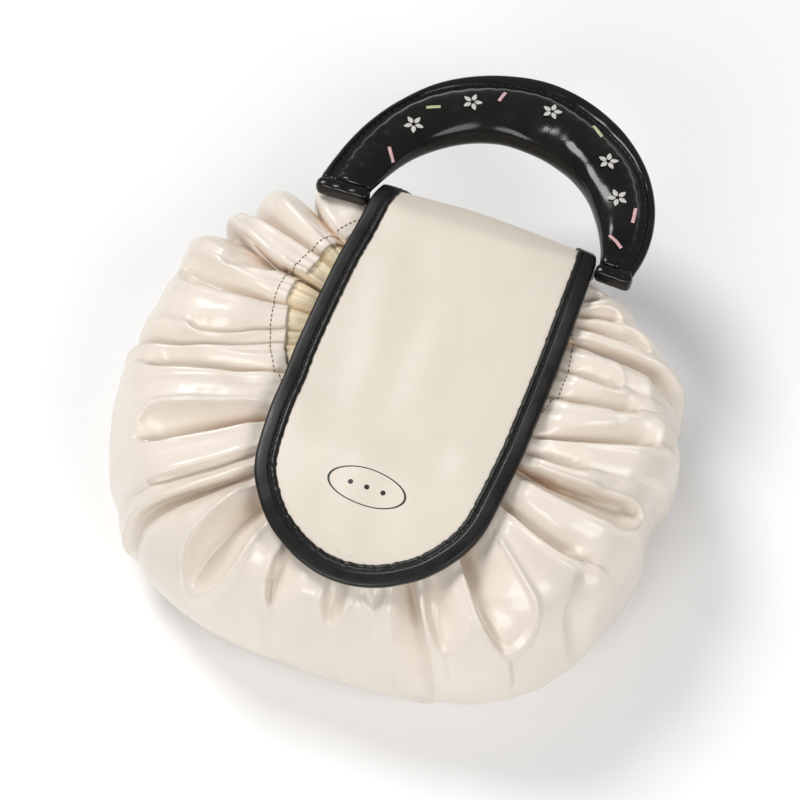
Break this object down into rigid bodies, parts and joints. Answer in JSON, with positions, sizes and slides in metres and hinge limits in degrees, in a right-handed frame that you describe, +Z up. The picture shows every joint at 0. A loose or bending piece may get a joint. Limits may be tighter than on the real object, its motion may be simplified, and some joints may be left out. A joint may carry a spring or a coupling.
{
  "type": "drawstring cosmetic bag",
  "caption": "Soft round pouch gathered at its mouth and lying on a flat base, with a bound flap laid over the mouth and a padded half-ring handle.",
  "frame": {"origin": "centre of the flat base, on the surface that the bag lies on", "axes": "+Z up out of the mouth, +Y towards the handle at the back, +X to the right seen from the flap's round end"},
  "size_m": [0.2366, 0.2765, 0.0972],
  "materials": {
    "cream_leather": "glossy faux leather",
    "black_leather": "glossy faux leather",
    "lining_cloth": "matt woven"
  },
  "bodies": {
    "root": {"bag_body": "cream_leather", "mouth_lining": "lining_cloth", "flap_panel": "cream_leather", "flap_binding": "black_leather", "handle_grip": "black_leather", "handle_end_left": "black_leather", "handle_end_right": "black_leather"}
  },
  "joints": []
}
